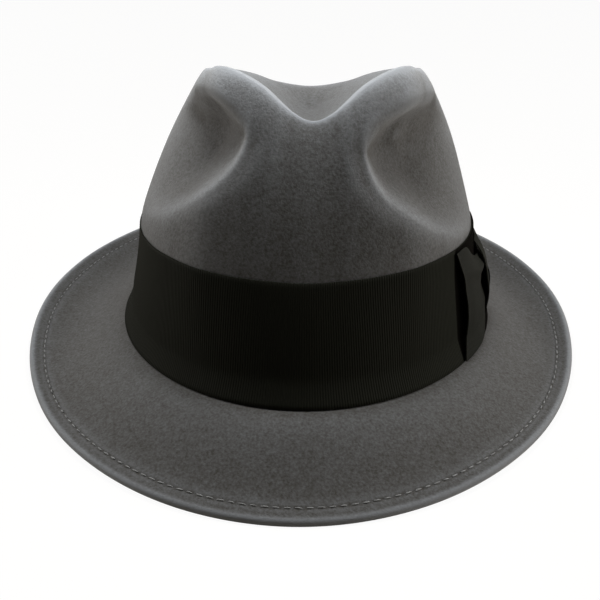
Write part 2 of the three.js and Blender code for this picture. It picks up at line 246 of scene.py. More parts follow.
@dataclass(frozen=True)
class HatForm:
    """The outer surface of the felt, in millimetres. Angles run from the front."""

    head_width: float = 168
    head_length: float = 204
    crown_height: float = 123.2
    lean: float = 3.1
    lean_start: float = 38
    lean_span: float = 70
    dent_front: float = 47
    dent_back: float = 40
    dent_depth_front: float = 35
    dent_depth_back: float = 38
    pinch_depth: float = 20.5
    pinch_aim: float = 0.8
    pinch_turn: float = 2.3
    pinch_uneven: float = 3
    pinch_fade_from: float = 34
    pinch_fade_to: float = 96
    pinch_top: float = 0.8
    lip_round: float = 0.05
    lip_scoop: float = 2.3
    lip_soft: float = 0.9
    lip_soft_from: float = 0.78
    lip_soft_span: float = 0.11
    lip_raise: float = 0.3
    lip_width: float = 1.2
    lip_roll: float = 0.07
    lip_reach: float = 7
    lip_spread: float = 0.8
    lip_gain: float = 1.6
    waist_depth: float = 1.4
    brim_front: float = 45.5
    brim_side: float = 46.6
    brim_back: float = 47
    brim_shift: float = -2.3
    brim_drop: float = 21
    brim_hollow: float = 7
    brim_straight: float = 0.4
    foot_radius: float = 4.5

    def foot(self, angle: np.ndarray) -> np.ndarray:
        """Points on the foot of the crown."""
        turn = np.radians(angle)
        across = self.head_width / 2 * np.sin(turn)
        along = -self.head_length / 2 * np.cos(turn)
        return points(across, along, np.zeros_like(across))

    def outward(self, angle: np.ndarray) -> np.ndarray:
        """The level direction square to the foot of the crown, outwards."""
        turn = np.radians(angle)
        across = np.sin(turn) / self.head_width
        along = -np.cos(turn) / self.head_length
        return unit(points(across, along, np.zeros_like(across)))

    def ridge(self, angle: np.ndarray) -> np.ndarray:
        """Points on the ridge round the top of the crown."""
        at = np.abs(angle)
        across = self.head_width / 2 * read(RIDGE, "across", at) * np.sin(np.radians(angle))
        along = self.head_length / 2 * read(RIDGE, "along", at)
        return points(across, along, self.crown_height * read(RIDGE, "height", at))

    def leaned(self, place: np.ndarray) -> np.ndarray:
        """Leans the upper crown towards +X."""
        moved = place.copy()
        moved[..., 0] += self.lean * soft((place[..., 2] - self.lean_start) / self.lean_span)
        return moved

    def pinched(self, angle: np.ndarray, height: np.ndarray, share: np.ndarray) -> np.ndarray:
        """How far the front pinches push the felt in.

        Args:
            angle: Degrees from the front.
            height: Height above the foot.
            share: Share of the wall's height at that angle.

        Returns:
            The depth of the push.
        """
        side = np.sign(angle)
        at = (height + side * self.pinch_uneven) / self.crown_height
        past = np.abs(angle) + side * self.pinch_turn - read(PINCH, "start", at)
        run = clamp(past / read(PINCH, "spread", at) * self.lip_spread)
        soften = soft((at - self.lip_soft_from) / self.lip_soft_span)
        bend = mix(self.lip_round, self.lip_soft, soften)
        turned = (np.hypot(run, bend) - bend) / (np.hypot(1, bend) - bend)
        scoop = 1 - (1 - turned) ** self.lip_scoop
        roll = self.lip_roll * clamp(1 + past / self.lip_reach) ** 2 * (1 - soften)
        step = mix(roll, 1, scoop)
        span = self.pinch_fade_to - self.pinch_fade_from
        fade = 1 - soft((np.abs(angle) - self.pinch_fade_from) / span)
        top = 1 - soft((share - self.pinch_top) / (1 - self.pinch_top))
        deep = read(PINCH, "depth", at)
        lip = hump(past, 0, self.lip_width) * soft(deep * self.lip_gain) * (1 - soften)
        return (self.pinch_depth * deep * step - self.lip_raise * lip) * fade * top

    def wall(self, angle: np.ndarray, share: np.ndarray) -> np.ndarray:
        """The outside of the crown's wall, share 0 at its foot and 1 on the ridge."""
        angle, share = np.broadcast_arrays(angle, share)
        at = np.abs(angle)
        top = self.ridge(angle)
        base = self.foot(angle)
        full = (1 - share ** read(RIDGE, "swell", at)) ** (1 / read(RIDGE, "turn", at))
        place = mix(top, base, full[..., None])
        place[..., 2] = top[..., 2] * share
        height = place[..., 2]
        turn = np.radians(angle)
        depth = self.pinched(angle, height, share)
        place[..., 0] -= depth * np.sin(self.pinch_aim * turn)
        place[..., 1] += depth * np.cos(self.pinch_aim * turn)
        drawn = self.waist_depth * read(WAIST, "depth", height / self.crown_height)
        place -= self.outward(angle) * (drawn * np.sin(turn) ** 2)[..., None]
        return self.leaned(place)

    def wall_at(self, angle: np.ndarray, height: np.ndarray) -> np.ndarray:
        """The crown's wall at a height, with the bend at its foot."""
        angle, height = np.broadcast_arrays(angle, height)
        place = self.wall(angle, height / self.ridge(angle)[..., 2])
        low = clamp(1 - height / self.foot_radius)
        across = 1 - np.sqrt(1 - low**2)
        return place + self.outward(angle) * (self.foot_radius * across)[..., None]

    def dent(self, angle: np.ndarray, share: np.ndarray) -> np.ndarray:
        """The centre dent, share 0 on the ridge and 1 on its floor line."""
        angle, share = np.broadcast_arrays(angle, share)
        top = self.ridge(angle)
        back = (1 - np.cos(np.radians(angle))) / 2
        floor_y = mix(-self.dent_front, self.dent_back, back)
        floor_z = self.crown_height - mix(self.dent_depth_front, self.dent_depth_back, back)
        place = points(
            top[..., 0] * (1 - share),
            mix(top[..., 1], floor_y, share),
            mix(top[..., 2], floor_z, soft(share)),
        )
        return self.leaned(place)

    def brim(self, angle: np.ndarray, share: np.ndarray) -> np.ndarray:
        """The top of the brim, share 0 at the end of the crown's bend and 1 at the edge."""
        angle, share = np.broadcast_arrays(angle, share)
        turn = np.radians(angle)
        start = self.foot(angle) + self.outward(angle) * self.foot_radius
        reach = np.where(np.cos(turn) > 0, self.brim_front, self.brim_back)
        edge_x = (self.head_width / 2 + self.brim_side) * np.sin(turn) + self.brim_shift
        edge_y = -(self.head_length / 2 + reach) * np.cos(turn)
        slope = mix(soft(share), share, self.brim_straight)
        edge = self.brim_drop * read(BRIM, "edge", np.abs(angle))
        hollow = self.brim_hollow * read(BRIM, "hollow", np.abs(angle))
        return points(
            mix(start[..., 0], edge_x, share),
            mix(start[..., 1], edge_y, share),
            edge * slope - hollow * 4 * share * (1 - share),
        )

    def brim_inset(self, angle: np.ndarray, inset: np.ndarray) -> np.ndarray:
        """The top of the brim at a distance in from its edge."""
        angle, inset = np.broadcast_arrays(angle, inset)
        ends = self.brim(angle, np.ones_like(inset)) - self.brim(angle, np.zeros_like(inset))
        return self.brim(angle, 1 - inset / np.linalg.norm(ends, axis=-1))


class ColumnRun(NamedTuple):
    """The columns of the felt up to an angle from the front."""

    end: float
    steps: int


COLUMN_RUNS = (ColumnRun(12, 14), ColumnRun(50, 80), ColumnRun(180, 74))


def column_angles() -> np.ndarray:
    """Degrees from the front for the columns of the felt, closer over the pinches."""
    half = [0.0]
    for end, steps in COLUMN_RUNS:
        half.extend(np.linspace(half[-1], end, steps + 1)[1:])
    left = [-angle for angle in reversed(half[1:-1])]
    return np.array(left + half)


def facing(rows: np.ndarray, mirrored: np.ndarray) -> np.ndarray:
    """The outward direction of the felt's outer face at each of its points.

    Args:
        rows: Points in rows that run round the hat.
        mirrored: For each column, the one at the same angle on the other side.

    Returns:
        A unit vector for each point.
    """
    along = np.roll(rows, -1, axis=1) - np.roll(rows, 1, axis=1)
    before = np.concatenate([rows[1:2, mirrored], rows[:-1]])
    after = np.concatenate([rows[1:], rows[-1:]])
    normal = -np.cross(along, after - before)
    flat = np.linalg.norm(normal, axis=-1) < 1e-6
    normal[flat] = (0, 0, 1)
    return unit(normal)


@dataclass(frozen=True)
class Rest:
    """Where the hat stands: tipped about X, lifted, and moved over its box's middle."""

    tilt: float
    lift: float
    shift_x: float = 0.0
    shift_y: float = 0.0
    most_tilt: ClassVar[float] = math.radians(15)
    halvings: ClassVar[int] = 40

    @staticmethod
    def tipped(place: np.ndarray, tilt: float) -> np.ndarray:
        """Points turned about X by an angle in radians."""
        turned = place.copy()
        turned[..., 1] = place[..., 1] * math.cos(tilt) - place[..., 2] * math.sin(tilt)
        turned[..., 2] = place[..., 1] * math.sin(tilt) + place[..., 2] * math.cos(tilt)
        return turned

    @classmethod
    def of(cls, rows: np.ndarray, pressed: float) -> "Rest":
        """Finds the tilt at which the felt's front and back are as low as each other.

        Args:
            rows: All points of the felt.
            pressed: How much of the felt is pressed flat where it stands.

        Returns:
            The resting place.
        """
        front = rows[rows[..., 1] < 0]
        back = rows[rows[..., 1] > 0]
        less, more = -cls.most_tilt, cls.most_tilt
        for _ in range(cls.halvings):
            middle = (less + more) / 2
            if cls.tipped(front, middle)[:, 2].min() < cls.tipped(back, middle)[:, 2].min():
                more = middle
            else:
                less = middle
        standing = cls.tipped(rows, less)
        lift = -standing[..., 2].min() - pressed
        low = standing.reshape(-1, 3).min(axis=0)
        high = standing.reshape(-1, 3).max(axis=0)
        return cls(less, lift, -(low[0] + high[0]) / 2, -(low[1] + high[1]) / 2)

    def place(self, rows: np.ndarray) -> np.ndarray:
        """Puts points of the hat where they stand, in metres, without pressing them."""
        standing = self.tipped(rows, self.tilt)
        return (standing + (self.shift_x, self.shift_y, self.lift)) * METRES

    def settle(self, rows: np.ndarray) -> np.ndarray:
        """Puts points of the hat where they stand, pressed flat on the floor."""
        placed = self.place(rows)
        placed[..., 2] = np.maximum(placed[..., 2], 0)
        return placed


def add_object(name: str, data: bpy.types.ID) -> bpy.types.Object:
    """Adds an object to the scene, at the origin."""
    made = bpy.data.objects.new(name, data)
    bpy.context.collection.objects.link(made)
    return made


class Shape:
    """Makes Blender objects from rows of points, with closed seams and faces outwards."""

    merge_distance = 1e-6

    @classmethod
    def from_rows(
        cls,
        name: str,
        rows: np.ndarray,
        *,
        rows_close: bool,
        columns_close: bool,
        uv: np.ndarray | None = None,
    ) -> bpy.types.Object:
        """A closed body from rows of points.

        Args:
            name: The object's name.
            rows: Points in metres, by row and column.
            rows_close: Whether the last row joins the first.
            columns_close: Whether the last column joins the first. If not, the ends
                are closed by caps between the first and second half of the rows.
            uv: A map coordinate for each point, in metres along and across the cloth.

        Returns:
            The object, at the origin.
        """
        count_r, count_c = rows.shape[:2]
        index = np.arange(count_r * count_c).reshape(count_r, count_c)
        a = index if rows_close else index[:-1]
        b = np.roll(index, -1, axis=0) if rows_close else index[1:]
        if columns_close:
            corners = [a, b, np.roll(b, -1, axis=1), np.roll(a, -1, axis=1)]
        else:
            corners = [a[:, :-1], b[:, :-1], b[:, 1:], a[:, 1:]]
        quads = np.stack(corners, axis=-1).reshape(-1, 4).tolist()
        if not columns_close:
            quads += cls.end_caps(index)
        mesh = bpy.data.meshes.new(name)
        mesh.from_pydata(rows.reshape(-1, 3).tolist(), [], quads)
        if uv is not None:
            layer = mesh.uv_layers.new(name="ribbon")
            corner = np.empty(len(mesh.loops), dtype=np.int32)
            mesh.loops.foreach_get("vertex_index", corner)
            layer.data.foreach_set("uv", uv.reshape(-1, 2)[corner].ravel())
        cls.close(mesh)
        return add_object(name, mesh)

    @staticmethod
    def end_caps(index: np.ndarray) -> list[list[int]]:
        """Faces over the two ends of a flattened tube, from its rows' indices."""
        half = index.shape[0] // 2
        caps = []
        for k in range(half - 1):
            other = index.shape[0] - 1 - k
            first = [index[k, 0], index[k + 1, 0], index[other - 1, 0], index[other, 0]]
            last = [index[k, -1], index[other, -1], index[other - 1, -1], index[k + 1, -1]]
            caps.append([int(v) for v in first])
            caps.append([int(v) for v in last])
        return caps

    @classmethod
    def close(cls, mesh: bpy.types.Mesh) -> None:
        """Merges shared points, turns the faces outwards and shades them smooth."""
        work = bmesh.new()
        work.from_mesh(mesh)
        bmesh.ops.remove_doubles(work, verts=work.verts, dist=cls.merge_distance)
        bmesh.ops.dissolve_degenerate(work, edges=work.edges, dist=cls.merge_distance)
        if work.calc_volume(signed=True) < 0:
            bmesh.ops.reverse_faces(work, faces=work.faces)
        for face in work.faces:
            face.smooth = True
        work.to_mesh(mesh)
        work.free()

    @staticmethod
    def paint_crest_highlights(
        mesh: bpy.types.Mesh, radius: float, passes: int, top_highlight: tuple[float, float, float]
    ) -> None:
        """Stores a painted highlight from how convex the surface is: 1 on crests and 0 in hollows.

        Args:
            mesh: The mesh, which gets the painted highlight as an attribute.
            radius: The crest radius in metres that counts as fully convex.
            passes: How many times neighbours are averaged.
            top_highlight: The painted highlight on faces that look up at the top, the height
            in metres from which it grows, and the height over which it does.
        """
        count = len(mesh.vertices)
        place, normal = np.empty(count * 3), np.empty(count * 3)
        mesh.vertices.foreach_get("co", place)
        mesh.vertices.foreach_get("normal", normal)
        place, normal = place.reshape(-1, 3), normal.reshape(-1, 3)
        ends = np.empty(len(mesh.edges) * 2, dtype=np.int64)
        mesh.edges.foreach_get("vertices", ends)
        a, b = np.concatenate([ends.reshape(-1, 2), ends.reshape(-1, 2)[:, ::-1]]).T
        step = place[b] - place[a]
        bend = -2 * (normal[a] * step).sum(axis=1) / np.maximum((step**2).sum(axis=1), 1e-12)
        around = np.bincount(a, minlength=count)
        value = np.bincount(a, weights=bend, minlength=count) / np.maximum(around, 1)
        value = np.clip(value * radius, -1, 1)
        for _ in range(passes):
            near = np.bincount(a, weights=value[b], minlength=count) / np.maximum(around, 1)
            value = (value + near) / 2
        # Painted highlight: up-facing faces high on the crown are made paler, as if lit from
        # above, and crests are made paler too.
        top_highlight_gain, low, span = top_highlight
        painted_highlight = top_highlight_gain * soft((place[:, 2] - low) / span) * clamp(normal[:, 2])
        value = np.clip(0.5 + np.maximum(value, 0) / 2 + painted_highlight, 0, 1)
        layer = mesh.attributes.new("crest_highlight", "FLOAT", "POINT")
        layer.data.foreach_set("value", value.astype(np.float32))


@dataclass
class FeltBody:
    """The crown and brim, blocked from one piece of felt."""

    form: HatForm
    felt: float = 2
    welt_width: float = 7
    welt_thickness: float = 3.8
    welt_step: float = 1
    stitch_inset: float = 6.6
    groove_depth: float = 0.16
    groove_width: float = 0.7
    pressed: float = 0.8
    crest_radius: float = 9
    crest_passes: int = 10
    # Painted highlight on faces that look up near the top: its strength, and the heights in mm
    # where it starts and over which it grows.
    top_highlight_strength: float = 0.14
    top_highlight_from: float = 85
    top_highlight_span: float = 32
    dent_rows: int = 24
    wall_rows: int = 88
    wall_crowding: float = 1.6
    bend_rows: int = 5
    brim_rows: int = 18
    welt_rows: tuple[float, ...] = (8, 7.5, 7.1, 6.8, 6.5, 6.2, 5.8, 5.3, 4.6, 3.8, 3, 2.3)
    roll_turns: tuple[float, ...] = (70, 45, 20, 0, -20, -45, -70, -90)

    def top_rows(self, angle: np.ndarray) -> np.ndarray:
        """The outer face in rows, from the floor of the centre dent to the rolled edge."""
        form = self.form
        dent = form.dent(angle, np.linspace(1, 0, self.dent_rows, endpoint=False)[:, None])
        low = form.foot_radius / form.ridge(angle)[..., 2]
        fall = np.linspace(0, 1, self.wall_rows)[:, None]
        wall = form.wall(angle, mix(low, 1, 1 - fall**self.wall_crowding))
        turn = np.radians(np.linspace(0, 90, self.bend_rows + 1)[1:])[:, None]
        bend = form.wall_at(angle, form.foot_radius * (1 - np.sin(turn)) + 0 * angle)
        reach = self.brim_reach(angle)
        plain = 1 - (self.welt_width + 2 * self.welt_step) / reach
        brim = form.brim(angle, np.linspace(0, 1, self.brim_rows + 1)[1:, None] * plain)
        insets = np.array([*self.welt_rows, self.welt_thickness / 2])[:, None]
        welt = form.brim_inset(angle, insets + 0 * angle)
        welt[..., 2] -= self.groove_depth * hump(insets, self.stitch_inset, self.groove_width)
        return np.concatenate([dent, wall, bend, brim, welt])

    def brim_reach(self, angle: np.ndarray) -> np.ndarray:
        """The brim's width at each angle."""
        ends = self.form.brim(angle, np.ones_like(angle)) - self.form.brim(angle, 0 * angle)
        return np.linalg.norm(ends, axis=-1)

    def rows(self) -> np.ndarray:
        """The felt in rows: down its outer face, round the edge and back up inside."""
        angle = column_angles()
        top = self.top_rows(angle)
        middle = int(np.argmin(np.abs(angle)))
        mirrored = (2 * middle - np.arange(len(angle))) % len(angle)
        normal = facing(top, mirrored)
        radius = self.welt_thickness / 2
        out = unit(top[-1] - top[-2])
        turns = np.radians(np.array(self.roll_turns))[:, None, None]
        roll = top[-1] + normal[-1] * radius * (np.sin(turns) - 1) + out * radius * np.cos(turns)
        inner = np.arange(0, len(top) - 1, 2)[::-1]
        inset = np.full(len(top), self.welt_width + 2 * self.welt_step)
        inset[-1 - len(self.welt_rows):-1] = self.welt_rows
        welted = soft((self.welt_width + self.welt_step - inset) / self.welt_step)
        thickness = mix(self.felt, self.welt_thickness, welted)
        under = top[inner] - normal[inner] * thickness[inner, None, None]
        return np.concatenate([top, roll, under])

    def build(self, rest: Rest, rows: np.ndarray) -> bpy.types.Object:
        """Makes the felt's object where it rests."""
        placed = rest.settle(rows)
        made = Shape.from_rows("felt_shell", placed, rows_close=False, columns_close=True)
        # The painted highlight for up-facing tops, in metres.
        top_highlight = (self.top_highlight_strength, self.top_highlight_from * METRES, self.top_highlight_span * METRES)
        Shape.paint_crest_highlights(made.data, self.crest_radius * METRES, self.crest_passes, top_highlight)
        return made


class Section(NamedTuple):
    """A ribbon's cross-section: place across it from -1 to 1, and layer from 0 to 1."""

    across: np.ndarray
    layer: np.ndarray


def ribbon_section(steps: int, selvedge: float) -> Section:
    """A thin section with rounded edges, up the inner face and down the outer one.

    Args:
        steps: Divisions across the ribbon.
        selvedge: How far each rounded edge stands out, as a share of half the width.

    Returns:
        The section's points in order.
    """
    up = np.linspace(-1, 1, steps + 1)
    across = np.concatenate([up, [1 + selvedge], up[::-1], [-1 - selvedge]])
    layer = np.concatenate([np.zeros_like(up), [0.5], np.ones_like(up), [0.5]])
    return Section(across, layer)


def cut_size(face: np.ndarray) -> tuple[float, float]:
    """The flat width and length of a piece of ribbon, measured on the made piece.

    Args:
        face: Points of one face in millimetres, in rows that run along the ribbon.

    Returns:
        Its widest section and its longest run, in metres.
    """
    width = np.linalg.norm(np.diff(face, axis=0), axis=-1).sum(axis=0).max()
    length = np.linalg.norm(np.diff(face, axis=1), axis=-1).sum(axis=1).max()
    return float(width) * METRES, float(length) * METRES


@dataclass
class RibbonBand:
    """The wide grosgrain ribbon round the foot of the crown."""

    form: HatForm
    foot: float = 0.6
    width: float = 47.4
    rise: float = 1.9
    flare: float = 3.7
    flare_height: float = 10.5
    flare_curl: float = 0.4
    thickness: float = 0.5
    clearance: float = 0.1
    selvedge: float = 0.01
    least_height: float = 0.3
    steps: int = 30
    cut: tuple[float, float] = (0.0, 0.0)

    def height(self, angle: np.ndarray, across: np.ndarray) -> np.ndarray:
        """Height of a place across the band, whose top edge rises beside the front."""
        rise = self.rise * read(BAND_EDGE, "rise", np.abs(angle))
        return mix(self.foot, self.foot + self.width + rise, (across + 1) / 2)

    def place(self, angle: np.ndarray, height: np.ndarray, proud: np.ndarray) -> np.ndarray:
        """Points over the band, proud of its outer face. It flares over the brim's bend."""
        angle, height, proud = np.broadcast_arrays(angle, height, proud)
        share = height / self.form.ridge(angle)[..., 2]
        low = clamp((self.flare_height - height) / (self.flare_height - self.foot))
        flare = self.flare * low * mix(1 - self.flare_curl, 1, low)
        out = self.clearance + self.thickness + proud + flare
        place = self.form.wall(angle, np.maximum(share, 0))
        return place + self.form.outward(angle) * out[..., None]

    def build(self, rest: Rest) -> bpy.types.Object:
        """Makes the band's object."""
        angle = column_angles()
        section = ribbon_section(self.steps, self.selvedge)
        across = section.across[:, None]
        height = np.maximum(self.height(angle, across), self.least_height)
        proud = (section.layer[:, None] - 1) * self.thickness
        rows = self.place(angle, height, proud + 0 * angle)
        self.cut = cut_size(np.concatenate([rows, rows[:, :1]], axis=1)[: self.steps + 1])
        length = np.cumsum(np.linalg.norm(np.diff(rows[0], axis=0, prepend=rows[0, :1]), axis=-1))
        uv = np.stack(np.broadcast_arrays(length * METRES, height * METRES), axis=-1)
        return Shape.from_rows(
            "ribbon_band", rest.settle(rows), rows_close=True, columns_close=True, uv=uv
        )


Place = Callable[[np.ndarray, np.ndarray], tuple[np.ndarray, np.ndarray, np.ndarray]]


class WingRow(NamedTuple):
    """A bow wing at one share of its length from the knot.

    up and down are the heights above and below the bow's middle, as shares of half the
    band's width, and proud is how far its middle stands off, in millimetres.
    """

    at: float
    up: float
    down: float
    proud: float


FRONT_WING = table(
    WingRow,
    (0, 0.46, 0.72, 3.6),
    (0.2, 0.5, 0.82, 3.6),
    (0.42, 0.66, 0.95, 3.5),
    (0.7, 0.95, 0.98, 3.3),
    (1, 0.99, 0.98, 2.9),
)

BACK_WING = table(
    WingRow,
    (0, 0.46, 0.72, 4.7),
    (0.2, 0.52, 0.8, 3.6),
    (0.45, 0.7, 0.92, 2.5),
    (0.75, 0.94, 0.97, 2.2),
    (1, 0.98, 0.97, 2.4),
)


@dataclass
class Bow:
    """The flat side bow: a ribbon end under two fanned wings and an upright knot."""

    band: RibbonBand
    at: float = 76
    base_front: float = 25
    base_back: float = 12
    front_length: float = 22.5
    back_length: float = 27
    thickness: float = 0.5
    clearance: float = 0.1
    wing_edge: float = 0.6
    wing_fullness: float = 1.8
    wing_start: float = 0.03
    corner_reach: float = 2.6
    corner_sharpness: float = 2.5
    fold_at: float = -0.14
    fold_width: float = 0.44
    fold_depth: float = 1
    fold_reach: float = 0.8
    pleat_at: float = 0.56
    pleat_width: float = 0.15
    pleat_height: float = 0.8
    pleat_gap: float = 0.3
    pleat_trough: float = 0.7
    pleat_fade: float = 0.6
    knot_width: float = 11
    knot_top: float = 0.72
    knot_foot: float = 0.8
    knot_proud: float = 4.6
    tail_edge: float = 0.06
    tail_width: float = 0.99
    tail_step: float = 4
    knot_waist: float = 0.18
    knot_fullness: float = 3
    selvedge: float = 0.012
    steps: int = 36
    tail_columns: int = 48
    wing_columns: int = 40
    knot_columns: int = 14
    cuts: dict[str, tuple[float, float]] = field(default_factory=dict)

    @property
    def half(self) -> float:
        """Half the band's width."""
        return self.band.width / 2

    @property
    def middle(self) -> float:
        """Height of the bow's middle."""
        return self.band.foot + self.half

    def piece(self, name: str, along: np.ndarray, place: Place, rest: Rest) -> bpy.types.Object:
        """A piece of ribbon over the band.

        Args:
            name: The object's name.
            along: Shares of its length.
            place: Gives angle, height and how proud the inner face is, from shares
                along and across.
            rest: Where the hat stands.

        Returns:
            The object.
        """
        section = ribbon_section(self.steps, self.selvedge)
        across = section.across[:, None] + 0 * along
        angle, height, proud = place(along + 0 * across, across)
        rows = self.band.place(angle, height, proud + section.layer[:, None] * self.thickness)
        self.cuts[name] = cut_size(rows[: self.steps + 1])
        run = np.linalg.norm(np.diff(rows, axis=1), axis=-1)
        length = np.concatenate([np.zeros((len(rows), 1)), np.cumsum(run, axis=1)], axis=1)
        uv = np.stack([length * METRES, across * self.half * METRES], axis=-1)
        return Shape.from_rows(
            name, rest.settle(rows), rows_close=True, columns_close=False, uv=uv
        )

    def base(self, rest: Rest) -> bpy.types.Object:
        """The flat ribbon end under the bow."""

        def place(along: np.ndarray, across: np.ndarray) -> tuple[np.ndarray, ...]:
            angle = mix(self.at - self.base_front, self.at + self.base_back, along)
            height = self.band.height(angle, across * self.tail_width)
            sunk = (self.clearance + self.thickness) * (1 - soft(along / self.tail_edge))
            return angle, height, self.clearance - sunk

        return self.piece("bow_tail", np.linspace(0, 1, self.tail_columns), place, rest)

    def wing(
        self, name: str, table: Sequence[WingRow], turn: float, rest: Rest
    ) -> bpy.types.Object:
        """A wing of the bow, pinched under the knot and fanned out.

        Args:
            name: The object's name.
            table: Its shape along its length.
            turn: Degrees from the knot to its end, negative towards the front.
            rest: Where the hat stands.

        Returns:
            The object.
        """

        def place(along: np.ndarray, across: np.ndarray) -> tuple[np.ndarray, ...]:
            up = read(table, "up", along)
            down = read(table, "down", along)
            height = self.middle + self.half * across * np.where(across > 0, up, down)
            bulge = (1 - clamp(np.abs(across)) ** self.wing_fullness) * read(table, "proud", along)
            past_tail = self.base_back - max(turn, 0) * along
            under = soft((past_tail + self.tail_step) / self.tail_step)
            base = self.clearance * 2 + self.thickness * under
            near = clamp(1 - along / self.fold_reach) if turn < 0 else 0
            valley = hump(across, self.fold_at, self.fold_width)
            bulge = bulge * (1 - self.fold_depth * valley * near)
            pleat = hump(across, self.pleat_at, self.pleat_width)
            trough = hump(across, self.pleat_at - self.pleat_gap, self.pleat_width)
            pleats = (pleat - self.pleat_trough * trough) * (1 - self.pleat_fade * along)
            bulge = bulge + self.pleat_height * pleats
            proud = base + self.wing_edge * (1 - along) + bulge
            spread = clamp(np.abs(across)) ** self.corner_sharpness
            corner = np.sign(turn) * self.corner_reach * along * spread
            return self.at + turn * mix(self.wing_start, 1, along) + corner, height, proud

        return self.piece(name, np.linspace(0, 1, self.wing_columns), place, rest)

    def knot(self, rest: Rest) -> bpy.types.Object:
        """The upright wrap over the middle of the bow."""
        half = math.degrees(self.knot_width / self.band.form.head_length)

        def place(along: np.ndarray, across: np.ndarray) -> tuple[np.ndarray, ...]:
            reach = np.where(across > 0, self.knot_top, self.knot_foot)
            height = self.middle + across * self.half * reach
            narrow = 1 - self.knot_waist * (1 - across**2)
            angle = self.at + mix(-half, half, along) * narrow
            arch = self.knot_proud * (1 - clamp(np.abs(across)) ** self.knot_fullness)
            return angle, height, self.clearance * 2 + self.thickness + arch

        return self.piece("bow_wrap", np.linspace(0, 1, self.knot_columns), place, rest)


class NodeMaker:
    """Adds nodes to a tree and joins them, so that a material reads as a list."""

    MIX_FIRST = 6
    MIX_SECOND = 7
    MIX_RESULT = 2

    def __init__(self, tree: bpy.types.NodeTree) -> None:
        """Starts on an empty tree."""
        self.tree = tree
        tree.nodes.clear()

    def add(self, kind: str, inputs: dict | None = None, **settings: object) -> bpy.types.Node:
        """Adds a node.

        Args:
            kind: Blender's name of the node.
            inputs: Values or sockets for its inputs, by name or number.
            **settings: Values of its properties.

        Returns:
            The node.
        """
        node = self.tree.nodes.new(kind)
        for name, value in settings.items():
            setattr(node, name, value)
        for key, value in (inputs or {}).items():
            if isinstance(value, Socket):
                self.tree.links.new(value, node.inputs[key])
            else:
                node.inputs[key].default_value = value
        return node

    def math(self, operation: str, first: object, second: object = 0.0) -> Socket:
        """A Math node on two values or sockets."""
        node = self.add("ShaderNodeMath", {0: first, 1: second}, operation=operation)
        return node.outputs[0]

    def scaled(self, value: Socket, factor: object) -> Socket:
        """A value times a factor."""
        return self.math("MULTIPLY", value, factor)

    def swing(self, value: Socket, factor: object) -> Socket:
        """How far a value between 0 and 1 lies from its middle, times a factor."""
        return self.scaled(self.math("SUBTRACT", value, 0.5), factor)

    def blend(self, first: Socket, second: Socket, share: float) -> Socket:
        """Two values together, with a share of the second."""
        return self.math("ADD", self.scaled(first, 1 - share), self.scaled(second, share))

    def noise(
        self, place: Socket, scale: object, detail: float, roughness: float = 0.5
    ) -> Socket:
        """The value of a Noise Texture."""
        inputs = {"Vector": place, "Scale": scale, "Detail": detail, "Roughness": roughness}
        return self.add("ShaderNodeTexNoise", inputs).outputs["Fac"]

    def colour(self, share: Socket, dark: Sequence[float], light: Sequence[float]) -> Socket:
        """A colour between dark and light."""
        inputs = {0: share, self.MIX_FIRST: (*dark, 1.0), self.MIX_SECOND: (*light, 1.0)}
        return self.add("ShaderNodeMix", inputs, data_type="RGBA").outputs[self.MIX_RESULT]

    def bump(self, height: Socket, strength: float, depth: float) -> Socket:
        """A normal bent by a height, whose full depth is in metres."""
        inputs = {"Height": height, "Strength": strength, "Distance": depth}
        return self.add("ShaderNodeBump", inputs).outputs[0]

    def group(self, tree: bpy.types.NodeTree, **values: float) -> bpy.types.NodeOutputs:
        """The outputs of a node group, with values for its inputs."""
        return self.add("ShaderNodeGroup", values, node_tree=tree).outputs

    def random(self, seed: object, low: Sequence[float], high: Sequence[float]) -> Socket:
        """A random vector between two others."""
        inputs = {"Seed": seed, 0: low, 1: high}
        return self.add("FunctionNodeRandomValue", inputs, data_type="FLOAT_VECTOR").outputs[0]


def new_material(name: str) -> tuple[bpy.types.Material, NodeMaker]:
    """A new material, and a maker on its tree."""
    made = bpy.data.materials.new(name)
    made.use_nodes = True
    return made, NodeMaker(made.node_tree)


def group_tree(name: str, inputs: dict[str, float], outputs: Sequence[str]) -> NodeMaker:
    """A new shader node group.

    Args:
        name: Its name.
        inputs: Names and starting values of its float inputs.
        outputs: Names of its float outputs.

    Returns:
        A maker on its tree.
    """
    tree = bpy.data.node_groups.new(name, "ShaderNodeTree")
    for label, value in inputs.items():
        socket = tree.interface.new_socket(label, in_out="INPUT", socket_type="NodeSocketFloat")
        socket.default_value = value
    for label in outputs:
        tree.interface.new_socket(label, in_out="OUTPUT", socket_type="NodeSocketFloat")
    return NodeMaker(tree)


@dataclass(frozen=True)
class Nap:
    """Short matted fibres: a height, and a shade that varies over three scales."""

    fibre_roughness: float = 0.65
    speck_scale: float = 0.42
    speck_share: float = 0.26
    mottle_roughness: float = 0.55
    mottle_share: float = 0.09

    def group(self) -> bpy.types.NodeTree:
        """Makes the node group."""
        start = {"Fibre": 900.0, "Mottle": 90.0, "Contrast": 0.3}
        make = group_tree("Nap", start, ("Height", "Shade"))
        given = make.add("NodeGroupInput").outputs
        place = make.add("ShaderNodeTexCoord").outputs["Object"]
        fibre = make.noise(place, given["Fibre"], 3.0, self.fibre_roughness)
        speck = make.noise(place, make.scaled(given["Fibre"], self.speck_scale), 2.0)
        mottle = make.noise(place, given["Mottle"], 3.0, self.mottle_roughness)
        grain = make.blend(fibre, speck, self.speck_share)
        both = make.blend(grain, mottle, self.mottle_share)
        shade = make.math("ADD", make.swing(both, given["Contrast"]), 0.5)
        make.add("NodeGroupOutput", {"Height": grain, "Shade": shade})
        return make.tree


